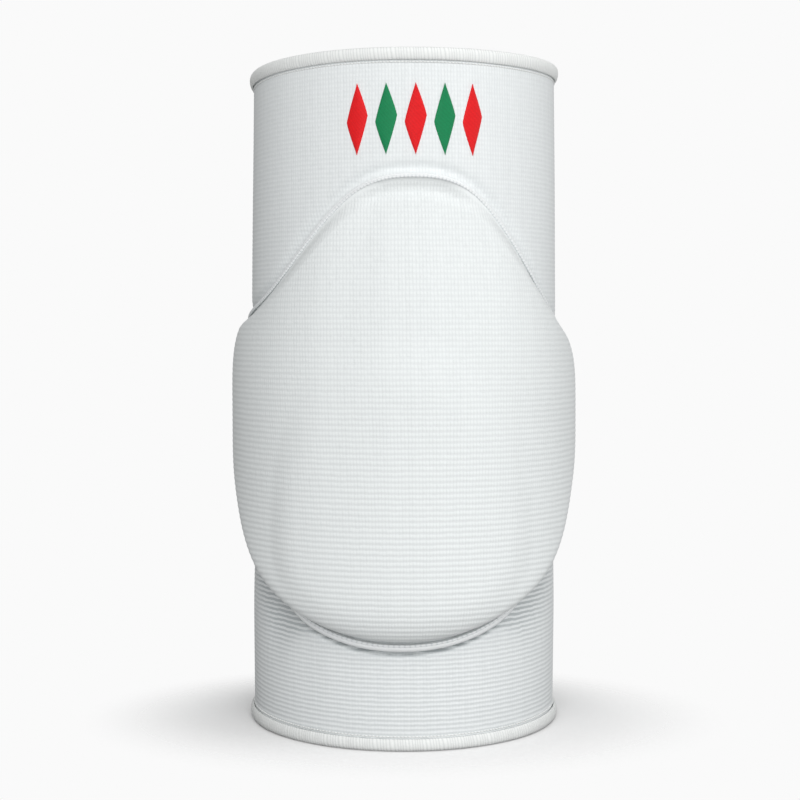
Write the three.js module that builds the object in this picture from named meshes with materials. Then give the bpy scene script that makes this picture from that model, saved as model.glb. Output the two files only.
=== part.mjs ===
// Goalkeeper knee pad: a tube of ribbed elastic knit that stands on its lower hem, a foam pad sewn
// over its front and sides, the raised seam round that pad, and an overlocked hem on each end.
// Millimetres and degrees, +Z up. The front faces -Y, and angles run from the front, positive
// towards +X. The origin is the centre of the bottom of the whole object's box.
import * as THREE from "three";

// Sleeve: outer radius at a few heights, a plain wall, and the clearance between sewn pieces.
const HEIGHT = 247.8;
const SLEEVE_WALL = 2;
const CLEARANCE = 0.35;
const SLEEVE_SECTIONS = [
  { z: 0, radius: 58.0 },
  { z: 45, radius: 58.4 },
  { z: 160, radius: 58.4 },
  { z: 200, radius: 58.0 },
  { z: HEIGHT, radius: 57.4 },
];
const ROUND_STEPS = 72;

// The upper end rises towards +X and waves a little: how far it goes up and down, from a height on.
const RIM_TILT = 1.6;
const RIM_WAVE = 0.6;
const TILT_FROM = 200;

// Hem: a folded edge round each end. Reach is measured outwards from the sleeve's outer face, and
// depth inwards from the end of the object. The fold runs from the outer lip over the end.
const HEM_SLOT_DEPTH = 1.9;
const HEM_OUTER_DEPTH = 4.8;
const HEM_INNER_DEPTH = 4.4;
const HEM_PROFILE = [
  { corner: "outer lip", reach: 0.8, depth: HEM_OUTER_DEPTH },
  { corner: "outer swell", reach: 1.5, depth: 2.4 },
  { corner: "outer shoulder", reach: 1.2, depth: 0.8 },
  { corner: "end, outside", reach: 0.4, depth: 0 },
  { corner: "end, inside", reach: -SLEEVE_WALL - 0.5, depth: 0 },
  { corner: "inner shoulder", reach: -SLEEVE_WALL - 1.3, depth: 0.9 },
  { corner: "inner lip", reach: -SLEEVE_WALL - 1.0, depth: HEM_INNER_DEPTH },
  { corner: "slot, inner mouth", reach: -SLEEVE_WALL - CLEARANCE, depth: HEM_INNER_DEPTH },
  { corner: "slot, inner end", reach: -SLEEVE_WALL - CLEARANCE, depth: HEM_SLOT_DEPTH },
  { corner: "slot, outer end", reach: CLEARANCE, depth: HEM_SLOT_DEPTH },
  { corner: "slot, outer mouth", reach: CLEARANCE, depth: HEM_OUTER_DEPTH },
];

// Pad outline: a bell whose wings wrap round the sides. The upper edge falls from the crown, which
// leans a little to one side, to the shoulders, the lower edge climbs from the chin ever more steeply,
// and the two close in a round end behind each side.
const PAD_REACH = 104;
const PAD_CROWN_Z = 203;
const CROWN_LEAN = 3.5;
const CROWN_SPREAD = 46.5;
const CROWN_POWER = 2.6;
const PAD_SHOULDER_Z = 154;
const SHOULDER_TILT = 2.8;
const PAD_CHIN_Z = 39.8;
const CHIN_LEAN = -1.2;
const CHIN_RISE = 24;
const CHIN_SPREAD = 57.5;
const CHIN_POWER = 2.15;
const WING_END_POWER = 8;

// Pad thickness: a dome that falls gently to the seam at the crown, more steeply at the shoulders and
// as a steep wall all along the lower edge, and over the kneecap a plate of thicker foam.
const DOME_FRONT_LIFT = 9.3;
const DOME_SIDE_LIFT = 7.7;
const DOME_CROWN_POWER = 2.2;
const DOME_CROWN_ROOT = 1;
const DOME_SHOULDER_POWER = 3;
const DOME_CHIN_POWER = 30;
const DOME_HIP_POWER = 8;
const ROUND_ROOT = 0.5;
const DOME_WING_POWER = 12;
const SHOULDER_FROM = 30;
const SHOULDER_TO = 80;
const HIP_FROM = 45;
const HIP_TO = 75;
const PLATE_LIFT = 10.8;
const PLATE_EDGE_POWER = 24;
const PLATE_LEAN = -1.5;
const PLATE_Z = 75;
const PLATE_UP = 67;
const PLATE_DOWN = 36;
const PLATE_HALF_ANGLE = 41.3;
const PLATE_SIDE_POWER = 2.4;
const PLATE_HEIGHT_POWER = 2;
const PLATE_SLOPE_START = -0.12;
const PLATE_SLOPE_END = 0.38;
const PAD_COLUMNS = 64;
const PAD_ROWS = 36;
const PAD_BACK_ROWS = 4;
const EDGE_CROWDING = 0.35;

// Seam: a round welt that stands on the sleeve along the pad's outline.
const SEAM_RADIUS = 1.1;
const SEAM_SIDES = 8;
const SEAM_STEPS = 84;

const { clamp, degToRad, lerp, mapLinear, smoothstep } = THREE.MathUtils;

// Outer radius of the sleeve at a height, straight between the sections.
function sleeveRadius(z) {
  const upper = Math.max(1, SLEEVE_SECTIONS.findIndex((section) => section.z >= z));
  const from = SLEEVE_SECTIONS[upper - 1];
  const to = SLEEVE_SECTIONS[upper];
  return mapLinear(z, from.z, to.z, from.radius, to.radius);
}

// A point at an angle from the front, a distance from the sleeve's axis and a height.
function around(angle, radius, z) {
  const turn = degToRad(angle);
  return new THREE.Vector3(radius * Math.sin(turn), -radius * Math.cos(turn), z);
}

// The pad's edges, the upper one a bell and the lower one a power of the angle, and what lies between.
function upperEdge(angle) {
  const shoulder = PAD_SHOULDER_Z - SHOULDER_TILT * Math.sin(degToRad(angle));
  const bell = Math.exp(-((Math.abs(angle - CROWN_LEAN) / CROWN_SPREAD) ** CROWN_POWER));
  return lerp(shoulder, PAD_CROWN_Z, bell);
}
function lowerEdge(angle) {
  return PAD_CHIN_Z + CHIN_RISE * (Math.abs(angle - CHIN_LEAN) / CHIN_SPREAD) ** CHIN_POWER;
}
const midHeight = (angle) => (upperEdge(angle) + lowerEdge(angle)) / 2;
const wingEnd = (angle) => Math.sqrt(1 - (Math.abs(angle) / PAD_REACH) ** WING_END_POWER);
const halfHeight = (angle) => ((upperEdge(angle) - lowerEdge(angle)) / 2) * wingEnd(angle);

// The pad's outline at a turn round it, from the crown towards +X, as an angle and a height.
function outline(turn) {
  const angle = PAD_REACH * Math.sin(turn);
  const side = Math.cos(turn) < 0 ? -1 : 1;
  return { angle, z: midHeight(angle) + side * halfHeight(angle) };
}

// Thickness of the pad over the sleeve. Height is taken as a share of the way from the pad's middle
// to its edge, so that dome and plate both reach the seam all round.
function padThickness(angle, z) {
  const swing = Math.abs(angle);
  const rise = clamp((z - midHeight(angle)) / halfHeight(angle), -1, 1);
  const crest = (power, root) => (1 - Math.abs(rise) ** power) ** root;
  const shoulder = smoothstep(swing, SHOULDER_FROM, SHOULDER_TO);
  const upperPower = lerp(DOME_CROWN_POWER, DOME_SHOULDER_POWER, shoulder);
  const upperCrest = crest(upperPower, lerp(DOME_CROWN_ROOT, ROUND_ROOT, shoulder));
  const hip = smoothstep(swing, HIP_FROM, HIP_TO);
  const lowerCrest = crest(lerp(DOME_CHIN_POWER, DOME_HIP_POWER, hip), ROUND_ROOT);
  const wing = Math.sqrt(1 - (swing / PAD_REACH) ** DOME_WING_POWER);
  const lift = lerp(DOME_FRONT_LIFT, DOME_SIDE_LIFT, shoulder) * wing;
  const dome = lift * (rise > 0 ? upperCrest : lowerCrest);
  const reach = z > PLATE_Z ? PLATE_UP : PLATE_DOWN;
  const across = (Math.abs(angle - PLATE_LEAN) / PLATE_HALF_ANGLE) ** PLATE_SIDE_POWER;
  const along = (Math.abs(z - PLATE_Z) / reach) ** PLATE_HEIGHT_POWER;
  const plate = smoothstep(1 - across - along, PLATE_SLOPE_START, PLATE_SLOPE_END);
  return lerp(dome, PLATE_LIFT * crest(PLATE_EDGE_POWER, ROUND_ROOT), plate);
}

// A closed skin over a row of closed sections with the same number of points. It runs round to the
// first section again, or else it is drawn in to a tip beyond each end of the row.
function lofted(sections, tips = []) {
  const count = sections[0].length;
  const points = [...sections.flat(), ...tips];
  const triangles = [];
  const bands = sections.length - (tips.length > 0 ? 1 : 0);
  const firstTip = points.length - tips.length;
  const lastRow = firstTip - count;
  for (let side = 0; side < count; side++) {
    const next = (side + 1) % count;
    for (let band = 0; band < bands; band++) {
      const here = band * count;
      const ahead = ((band + 1) % sections.length) * count;
      triangles.push(here + side, ahead + side, ahead + next, here + side, ahead + next, here + next);
    }
    if (tips.length > 0) {
      triangles.push(firstTip, side, next, firstTip + 1, lastRow + next, lastRow + side);
    }
  }
  const geometry = new THREE.BufferGeometry().setFromPoints(points);
  geometry.setIndex(triangles);
  geometry.computeVertexNormals();
  return geometry;
}

// A profile of radius and height turned round the sleeve's axis, with the upper end's tilt and wave:
// each point there moves by its angle and by its share of the way up.
function turned(profile) {
  const points = profile.map(({ radius, z }) => new THREE.Vector2(radius, z));
  const geometry = new THREE.LatheGeometry([...points, points[0]], ROUND_STEPS).rotateX(Math.PI / 2);
  const position = geometry.getAttribute("position");
  for (let i = 0; i < position.count; i++) {
    const z = position.getZ(i);
    const share = clamp((z - TILT_FROM) / (HEIGHT - TILT_FROM), 0, 1);
    const angle = Math.atan2(position.getX(i), -position.getY(i));
    position.setZ(i, z + share * (RIM_TILT * Math.sin(angle) - RIM_WAVE * Math.sin(2 * angle)));
  }
  geometry.computeVertexNormals();
  return geometry;
}

// The sleeve: its outer face up one side, its inner face back down, ending inside each hem's fold.
function sleeveGeometry() {
  const end = HEM_SLOT_DEPTH + CLEARANCE;
  const middle = SLEEVE_SECTIONS.slice(1, -1).map(({ z }) => z);
  const heights = [end, ...middle, HEIGHT - end];
  const outer = heights.map((z) => ({ radius: sleeveRadius(z), z }));
  const inner = outer.map(({ radius, z }) => ({ radius: radius - SLEEVE_WALL, z })).reverse();
  return turned([...outer, ...inner]);
}

// A hem: the fold's profile, counted up from the bottom end or down from the top one.
function hemGeometry(atTop) {
  const profile = HEM_PROFILE.map(({ reach, depth }) => {
    const z = atTop ? HEIGHT - depth : depth;
    return { radius: sleeveRadius(z) + reach, z };
  });
  return turned(atTop ? profile : profile.reverse());
}

// The pad: sections across it from one wing's end to the other. Each climbs the outside of the dome
// from the lower edge to the upper one, in steps that shorten towards the seam, and comes back down
// along the sleeve.
function padGeometry() {
  const onSleeve = (angle, z, lift) => around(angle, sleeveRadius(z) + CLEARANCE + lift, z);
  const sections = [];
  for (let column = 1; column < PAD_COLUMNS; column++) {
    const angle = PAD_REACH * Math.sin((column / PAD_COLUMNS - 0.5) * Math.PI);
    const height = (rise) => midHeight(angle) + rise * halfHeight(angle);
    const section = [];
    for (let row = 0; row <= PAD_ROWS; row++) {
      const step = (2 * row) / PAD_ROWS - 1;
      const z = height(step * (1 + EDGE_CROWDING * (1 - step ** 2)));
      section.push(onSleeve(angle, z, padThickness(angle, z)));
    }
    for (let row = PAD_BACK_ROWS - 1; row > 0; row--) {
      section.push(onSleeve(angle, height((2 * row) / PAD_BACK_ROWS - 1), 0));
    }
    sections.push(section);
  }
  const tips = [-PAD_REACH, PAD_REACH].map((angle) => onSleeve(angle, midHeight(angle), 0));
  return lofted(sections, tips);
}

// The seam: a round section carried along the outline, clear of the pad's edge and of the sleeve.
function seamGeometry() {
  const offset = SEAM_RADIUS + CLEARANCE;
  const nudge = 1e-3;
  const sections = [];
  for (let step = 0; step < SEAM_STEPS; step++) {
    const turn = (step / SEAM_STEPS) * 2 * Math.PI;
    const here = outline(turn);
    const before = outline(turn - nudge);
    const after = outline(turn + nudge);
    const arc = degToRad(1) * sleeveRadius(here.z);
    const away = new THREE.Vector2(before.z - after.z, (after.angle - before.angle) * arc).normalize();
    const section = [];
    for (let side = 0; side < SEAM_SIDES; side++) {
      const roll = (side / SEAM_SIDES) * 2 * Math.PI;
      const across = offset - SEAM_RADIUS * Math.cos(roll);
      const radius = sleeveRadius(here.z) + offset + SEAM_RADIUS * Math.sin(roll);
      section.push(around(here.angle + (away.x * across) / arc, radius, here.z + away.y * across));
    }
    sections.push(section);
  }
  return lofted(sections);
}

// A sub-part: bright white rib knit, white thread, or the slightly warmer yarn of the hems.
function piece(name, geometry, color, roughness) {
  const material = new THREE.MeshStandardMaterial({ color, roughness, metalness: 0 });
  const mesh = new THREE.Mesh(geometry, material);
  mesh.name = name;
  return mesh;
}

// The pieces share the sleeve's axis, which stands behind the origin because the pad is thicker in front.
const pieces = new THREE.Group();
pieces.add(
  piece("sleeve", sleeveGeometry(), 0xeef0f0, 0.95),
  piece("knee_pad", padGeometry(), 0xf0f2f2, 0.95),
  piece("pad_seam", seamGeometry(), 0xf2f4f5, 0.9),
  piece("top_hem", hemGeometry(true), 0xeeeee8, 0.9),
  piece("bottom_hem", hemGeometry(false), 0xeeeee8, 0.9),
);
const box = new THREE.Box3().setFromObject(pieces);
pieces.position.y = -(box.min.y + box.max.y) / 2;

const kneePad = new THREE.Group();
kneePad.add(pieces);
export default kneePad;
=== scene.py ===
"""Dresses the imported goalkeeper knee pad: ribbed elastic knit, a foam pad, its stitched seam and yarn hems.

Run as a script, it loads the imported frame, builds each piece around it and sets up the stage. Sizes are in
metres, and the settings' lengths are given in millimetres. Angles are in degrees from the front, positive
towards +X, around the sleeve's own axis.
"""

import math

import bpy
import numpy as np
from bpy.props import FloatProperty, FloatVectorProperty, IntProperty, PointerProperty
from bpy.types import Operator, Panel, PropertyGroup
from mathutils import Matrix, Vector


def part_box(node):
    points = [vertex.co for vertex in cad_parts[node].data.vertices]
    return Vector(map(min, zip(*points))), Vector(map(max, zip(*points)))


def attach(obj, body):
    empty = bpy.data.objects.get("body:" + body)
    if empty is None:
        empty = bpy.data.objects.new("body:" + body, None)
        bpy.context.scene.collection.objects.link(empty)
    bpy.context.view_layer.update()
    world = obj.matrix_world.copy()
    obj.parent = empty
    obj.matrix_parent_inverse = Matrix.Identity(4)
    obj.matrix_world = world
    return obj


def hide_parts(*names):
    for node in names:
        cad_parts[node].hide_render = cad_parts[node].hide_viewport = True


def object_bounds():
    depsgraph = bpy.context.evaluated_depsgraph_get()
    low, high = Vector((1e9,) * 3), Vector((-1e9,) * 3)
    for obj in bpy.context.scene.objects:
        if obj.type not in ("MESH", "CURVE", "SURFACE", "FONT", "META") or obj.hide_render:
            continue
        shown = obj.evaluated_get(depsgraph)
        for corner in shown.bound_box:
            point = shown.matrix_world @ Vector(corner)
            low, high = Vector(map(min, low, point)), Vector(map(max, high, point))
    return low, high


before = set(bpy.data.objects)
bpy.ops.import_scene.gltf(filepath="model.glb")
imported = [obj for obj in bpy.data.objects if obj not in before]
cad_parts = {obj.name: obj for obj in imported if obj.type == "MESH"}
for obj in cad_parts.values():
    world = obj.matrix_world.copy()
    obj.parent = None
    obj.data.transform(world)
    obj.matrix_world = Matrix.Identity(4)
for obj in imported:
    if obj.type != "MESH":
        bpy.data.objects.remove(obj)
CAD_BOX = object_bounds()

bl_info = {
    "name": "Goalkeeper knee pad",
    "version": (1, 0, 0),
    "blender": (4, 5, 0),
    "location": "3D View > Sidebar > Knee Pad",
    "description": "Dresses the packed knee pad in ribbed knit, with a stitched seam and yarn hems",
    "category": "Object",
}

MM = 0.001
BODY = "root"

# The upper end rises towards +X and waves a little: how far it goes up and down, from a height on.
RIM_TILT = 1.6 * MM
RIM_WAVE = 0.6 * MM
TILT_FROM = 200 * MM


def rim_shape(angle):
    """How far the upper end stands over its mean height at angles."""
    turn = np.radians(angle)
    return RIM_TILT * np.sin(turn) - RIM_WAVE * np.sin(2 * turn)


# Sizes that the frame gives: the sleeve's axis, ends, widest radius, girth and length of a degree around it,
# and the pad's crown and chin.
SLEEVE_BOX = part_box("sleeve")
PAD_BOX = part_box("knee_pad")
HEIGHT = CAD_BOX[1].z - rim_shape(np.arange(360)).max()
AXIS_Y = (SLEEVE_BOX[0].y + SLEEVE_BOX[1].y) / 2
SLEEVE_END_LOW = SLEEVE_BOX[0].z
SLEEVE_END_HIGH = HEIGHT - SLEEVE_END_LOW
SLEEVE_RADIUS = (SLEEVE_BOX[1].x - SLEEVE_BOX[0].x) / 2
GIRTH = 2 * math.pi * SLEEVE_RADIUS
DEGREE_LENGTH = GIRTH / 360
PAD_CHIN_Z = PAD_BOX[0].z
PAD_CROWN_Z = PAD_BOX[1].z

# Sleeve: how far its radius falls short of the widest one at a few heights, and the gap from it to the pad.
SECTION_HEIGHTS = np.array([0.0, 45 * MM, 160 * MM, 200 * MM, HEIGHT])
SECTION_RADII = SLEEVE_RADIUS - np.array([0.4, 0.0, 0.0, 0.4, 1.0]) * MM
CLEARANCE = 0.35 * MM

# Pad outline: a bell whose wings wrap around the sides, as in the solid that it dresses.
PAD_REACH = 104.0
CROWN_LEAN = 3.5
CROWN_SPREAD = 46.5
CROWN_POWER = 2.6
PAD_SHOULDER_Z = PAD_CROWN_Z - 49 * MM
SHOULDER_TILT = 2.8 * MM
CHIN_LEAN = -1.2
CHIN_RISE = 24 * MM
CHIN_SPREAD = 57.5
CHIN_POWER = 2.15
WING_END_POWER = 8

# Flanks: the angles from the front between which the seam under the pad disappears below its overhang, the
# one from which the valley in the sleeve there ends, and the distance from the upper edge at which the
# overhang is whole.
FLANK_FROM = 32.0
FLANK_TO = 58.0
FLANK_END = 75.0
FLANK_MARGIN = 12 * MM

# Upper seam: the angles from the crown between which the ridge there becomes the foot of a slope, and the
# shares by which the ridge and the seam itself drop.
RIDGE_FROM = 10.0
RIDGE_TO = 32.0
RIDGE_DROP = 0.85
SEAM_DROP = 0.5

# Pad thickness: a dome, and over the kneecap a plate of thicker foam, with softer edges than the solid's.
DOME_FRONT_LIFT = 9.3 * MM
DOME_SIDE_LIFT = 7.7 * MM
DOME_CROWN_POWER = 2.2
DOME_CROWN_ROOT = 1.0
DOME_SHOULDER_POWER = 3.0
DOME_CHIN_POWER = 30.0
DOME_HIP_POWER = 8.0
ROUND_ROOT = 0.5
DOME_WING_POWER = 12
SHOULDER_FROM = 30.0
SHOULDER_TO = 80.0
HIP_FROM = 45.0
HIP_TO = 75.0
PLATE_LIFT = 10.8 * MM
PLATE_EDGE_POWER = 15
PLATE_LEAN = -1.5
PLATE_Z = PAD_CHIN_Z + 35.2 * MM
PLATE_UP = 67 * MM
PLATE_DOWN = 36 * MM
PLATE_HALF_ANGLE = 41.3
PLATE_SIDE_POWER = 2.4
PLATE_HEIGHT_POWER = 2
PLATE_SLOPE_START = -0.2
PLATE_SLOPE_END = 0.46

# Seam: the shares by which its outline faces down where its sizes begin and end to change, and the mean
# height of a stitch, around which it swells.
UNDER_FROM = -0.3
UNDER_TO = 0.7
STITCH_MEAN = 0.6

# Hem: a folded edge, as reach outwards from the sleeve's outer face and depth from the end of the object.
HEM_FOLD = MM * np.array(
    [
        (0.2, 4.6),
        (0.8, 4.4),
        (1.3, 3.3),
        (1.5, 2.2),
        (1.4, 1.1),
        (0.9, 0.3),
        (0.0, 0.0),
        (-1.6, 0.0),
        (-2.7, 0.35),
        (-3.3, 1.3),
        (-3.3, 2.8),
        (-2.9, 4.4),
        (-2.3, 4.3),
        (-2.2, 2.4),
        (0.1, 2.4),
    ]
)
CORNER_CUT = 0.25

# Threads: how full the ridge of a hem's and of a lozenge's thread is, and the waist between a hem's stitches.
HEM_THREAD_POWER = 0.6
LOZENGE_THREAD_POWER = 0.7
HEM_STITCH_WAIST = 0.35

# Sine waves of the uneven cloth, as waves around, radians per metre of height and phase, of the hems'
# swells, as waves around and phase, and of their threads, as size in threads, radians per thread and phase.
SWELLS = ((3, 40, 0.0), (5, -65, 1.3), (9, 25, 4.1))
HEM_SWELLS = ((7, 0.5), (3, 0.0))
HEM_WANDER = ((0.35, 0.37, 0.0), (0.25, 1.13, 1.0))

# Fineness of the meshes, and the step in degrees over which an edge's slope is taken.
WELD = 1e-6
FRONT_COLUMNS = 128
BACK_COLUMNS = 24
FRONT_REACH = 96
SLEEVE_RIB_ROWS = 3
PAD_RIB_ROWS = 4
PAD_COLUMNS = 200
PAD_BACK_COLUMNS = 12
EDGE_CROWDING = 0.42
SEAM_STITCH_STEPS = 6
HEM_STITCH_STEPS = 6
HEM_STITCH_SIDES = 8
LOZENGE_THREAD_STEPS = 4
FLOOR_RINGS = 8
FLOOR_SPOKES = 64
DENSE = 4001
SLOPE_STEP = 0.5

# Knit pattern: how full a bead is, the shares of a rib in which it rises and after which it falls, and the
# share of fuzz on it.
BEAD_POWER = 0.7
BEAD_RISE = 0.25
BEAD_FALL = 0.82
BEAD_FUZZ = 0.35

# Thread pattern: fibres across a thread, the shares of fibres and of fuzz in its height, and how narrow the
# painted shade in the groove beside it is.
FIBRES = 3.0
FIBRE_SHARE = 0.6
FIBRE_FUZZ = 0.9
VALLEY_POWER = 1.5

# UV maps of a piece, and what a pattern makes of them: a height, a groove mask of painted shade and a streak
# mask.
MAPS = ("Stitches", "Shares")
MASKS = ("Height", "Groove", "Streak")


def smoothstep(value, start, end):
    """0 before start, 1 after end and a smooth cubic between them."""
    share = np.clip((value - start) / (end - start), 0, 1)
    return share * share * (3 - 2 * share)


def mix(first, second, share):
    """The way from first to second by a share."""
    return first + (second - first) * share


def along_three(values, share):
    """The first of three values at a share of 0, the second at 1 and the last at 2."""
    return np.interp(share, (0, 1, 2), values)


def sleeve_radius(z):
    """Outer radius of the sleeve at heights z, straight between its sections."""
    return np.interp(z, SECTION_HEIGHTS, SECTION_RADII)


def around(angle, radius, z):
    """Points at angles around the sleeve's axis, distances from it and heights."""
    turn, radius, z = np.broadcast_arrays(np.radians(angle), radius, z)
    return np.stack([radius * np.sin(turn), AXIS_Y - radius * np.cos(turn), z], axis=-1)


def rim_rise(angle, z):
    """How far the shape of the upper end lifts points at angles and heights below it."""
    return rim_shape(angle) * np.clip((z - TILT_FROM) / (HEIGHT - TILT_FROM), 0, 1)


def running_sum(steps):
    """The sums of all steps so far, from 0 on."""
    return np.concatenate([[0], np.cumsum(steps)])


def slow_swells(angle, z, size):
    """Slight unevenness of stretched cloth: slow sine waves that cross each other at a slant."""
    turn = np.radians(angle)
    waves = [np.sin(count * turn + twist * z + phase) for count, twist, phase in SWELLS]
    return size * np.mean(waves, axis=0)


def rib_wave(count):
    """Rib height, 0 in a groove and 1 on a crest, at a place counted in ribs: a raised cosine."""
    return 0.5 - 0.5 * np.cos(2 * np.pi * count)


def pad_edges(angle):
    """Heights of the pad's upper and lower edge at angles.

    The upper edge falls from the crown to the shoulders as a bell, the lower one climbs from the chin as a
    power of the angle, and both are drawn together towards the wings' ends.
    """
    shoulder = PAD_SHOULDER_Z - SHOULDER_TILT * np.sin(np.radians(angle))
    upper = mix(shoulder, PAD_CROWN_Z, np.exp(-((np.abs(angle - CROWN_LEAN) / CROWN_SPREAD) ** CROWN_POWER)))
    lower = PAD_CHIN_Z + CHIN_RISE * (np.abs(angle - CHIN_LEAN) / CHIN_SPREAD) ** CHIN_POWER
    swing = np.clip(np.abs(angle) / PAD_REACH, 0, 1)
    half = np.maximum(upper - lower, 0) / 2 * np.sqrt(1 - swing**WING_END_POWER)
    middle = (upper + lower) / 2
    return middle + half, middle - half


def pad_thickness(angle, z):
    """Thickness of the pad over the sleeve at angles and heights.

    The dome falls to the edges as a root of one less a power of the share of the way to them, and to the
    wings' ends likewise. The plate takes its place over the kneecap, inside a rounded field, with a soft
    slope between the two.
    """
    upper, lower = pad_edges(angle)
    middle, half = (upper + lower) / 2, np.maximum((upper - lower) / 2, WELD)
    swing = np.abs(angle)
    rise = np.clip((z - middle) / half, -1, 1)
    shoulder = smoothstep(swing, SHOULDER_FROM, SHOULDER_TO)
    hip = smoothstep(swing, HIP_FROM, HIP_TO)
    upper_power = mix(DOME_CROWN_POWER, DOME_SHOULDER_POWER, shoulder)
    power = np.where(rise > 0, upper_power, mix(DOME_CHIN_POWER, DOME_HIP_POWER, hip))
    root = np.where(rise > 0, mix(DOME_CROWN_ROOT, ROUND_ROOT, shoulder), ROUND_ROOT)
    wing = np.sqrt(1 - np.clip(swing / PAD_REACH, 0, 1) ** DOME_WING_POWER)
    lift = mix(DOME_FRONT_LIFT, DOME_SIDE_LIFT, shoulder)
    dome = lift * wing * (1 - np.abs(rise) ** power) ** root
    reach = np.where(z > PLATE_Z, PLATE_UP, PLATE_DOWN)
    across = (np.abs(angle - PLATE_LEAN) / PLATE_HALF_ANGLE) ** PLATE_SIDE_POWER
    along = (np.abs(z - PLATE_Z) / reach) ** PLATE_HEIGHT_POWER
    plate = PLATE_LIFT * (1 - np.abs(rise) ** PLATE_EDGE_POWER) ** ROUND_ROOT
    return mix(dome, plate, smoothstep(1 - across - along, PLATE_SLOPE_START, PLATE_SLOPE_END))


def ridge_side(angle):
    """0 at the crown and 1 where the ridge along its seam has become a slope, at angles."""
    return smoothstep(np.abs(angle - CROWN_LEAN), RIDGE_FROM, RIDGE_TO)


def pad_outline(turn):
    """The pad's outline as angles and heights, at turns in radians from above the chin towards +X."""
    angle = PAD_REACH * np.sin(turn)
    upper, lower = pad_edges(angle)
    return angle, np.where(np.cos(turn) >= 0, upper, lower)


def grid_quads(rows, columns, first):
    """Corner numbers of the quads of a grid of points that is counted row by row from the number first."""
    number = first + np.arange(rows * columns).reshape(rows, columns)
    corners = [number[:-1, :-1], number[:-1, 1:], number[1:, 1:], number[1:, :-1]]
    return np.stack(corners, axis=-1).reshape(-1, 4)


def closed_ring(grid):
    """A grid of points whose last column is its first one again."""
    return np.concatenate([grid, grid[:, :1]], axis=1)


def stitch_map(across, along, bead_share, painted_shade_share):
    """Four numbers for each point: the stitch counts, and how much bead and painted groove shade shows there.
    """
    return np.stack(np.broadcast_arrays(across, along, bead_share, painted_shade_share), axis=-1)


def add_mesh(name, patches, materials, material_of_patch=None):
    """One mesh object from patches, each a grid of points with its stitch map.

    Corners less than a micrometre apart become one vertex, which closes rings, poles and the joins between
    patches, and a quad that is drawn to a point there becomes a triangle. The stitch counts go to one UV map
    and the two shares to another.
    """
    points = np.concatenate([grid.reshape(-1, 3) for grid, _ in patches])
    stitches = np.concatenate([count.reshape(-1, 4) for _, count in patches]).astype(np.float32)
    starts = np.cumsum([0] + [grid[..., 0].size for grid, _ in patches])
    grids = [grid_quads(*grid.shape[:2], first) for (grid, _), first in zip(patches, starts)]
    quads = np.concatenate(grids)
    owner = np.repeat(np.arange(len(patches)), [len(part) for part in grids])
    cells = np.rint(points / WELD).astype(np.int64)
    _, source, vertex = np.unique(cells, axis=0, return_index=True, return_inverse=True)
    vertex = vertex.ravel()
    differs = vertex[quads] != vertex[np.roll(quads, -1, axis=1)]
    whole = differs.sum(axis=1) == 4
    drawn = differs.sum(axis=1) == 3
    corners = np.concatenate([quads[whole].ravel(), quads[drawn][differs[drawn]]])
    sides = np.concatenate([np.full(whole.sum(), 4), np.full(drawn.sum(), 3)])
    mesh = bpy.data.meshes.new(name)
    mesh.vertices.add(len(source))
    mesh.vertices.foreach_set("co", points[source].ravel())
    mesh.loops.add(len(corners))
    mesh.loops.foreach_set("vertex_index", vertex[corners].astype(np.int32))
    mesh.polygons.add(len(sides))
    mesh.polygons.foreach_set("loop_start", (np.cumsum(sides) - sides).astype(np.int32))
    mesh.update(calc_edges=True)
    for label, pair in zip(MAPS, (stitches[:, :2], stitches[:, 2:])):
        mesh.uv_layers.new(name=label).uv.foreach_set("vector", pair[corners].ravel())
    for material in materials:
        mesh.materials.append(material)
    if material_of_patch is not None:
        chosen = np.concatenate([owner[whole], owner[drawn]])
        mesh.polygons.foreach_set("material_index", np.asarray(material_of_patch, np.int32)[chosen])
    mesh.shade_smooth()
    if mesh.validate():
        raise RuntimeError(f"{name} has faces that fold onto themselves")
    made = bpy.data.objects.new(name, mesh)
    bpy.context.scene.collection.objects.link(made)
    return made


def dip_shares(settings, angle):
    """How far angles lie under the pad's flanks, and the share of the dip beside the seam that is left."""
    swing = np.abs(angle)
    flank = smoothstep(swing, FLANK_FROM, FLANK_TO)
    kept = 1 - smoothstep(swing, FLANK_END, PAD_REACH)
    return flank, kept * (1 - settings.dip_ease * flank * (angle > 0))


def seam_dip(settings, gap, share):
    """Share of the full depth that the dip beside the seam has at gaps from the pad's edge: a bell curve."""
    middle, width = along_three(settings.dip_at, share), along_three(settings.dip_width, share)
    return np.exp(-(((gap - middle) / width) ** 2))


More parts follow.
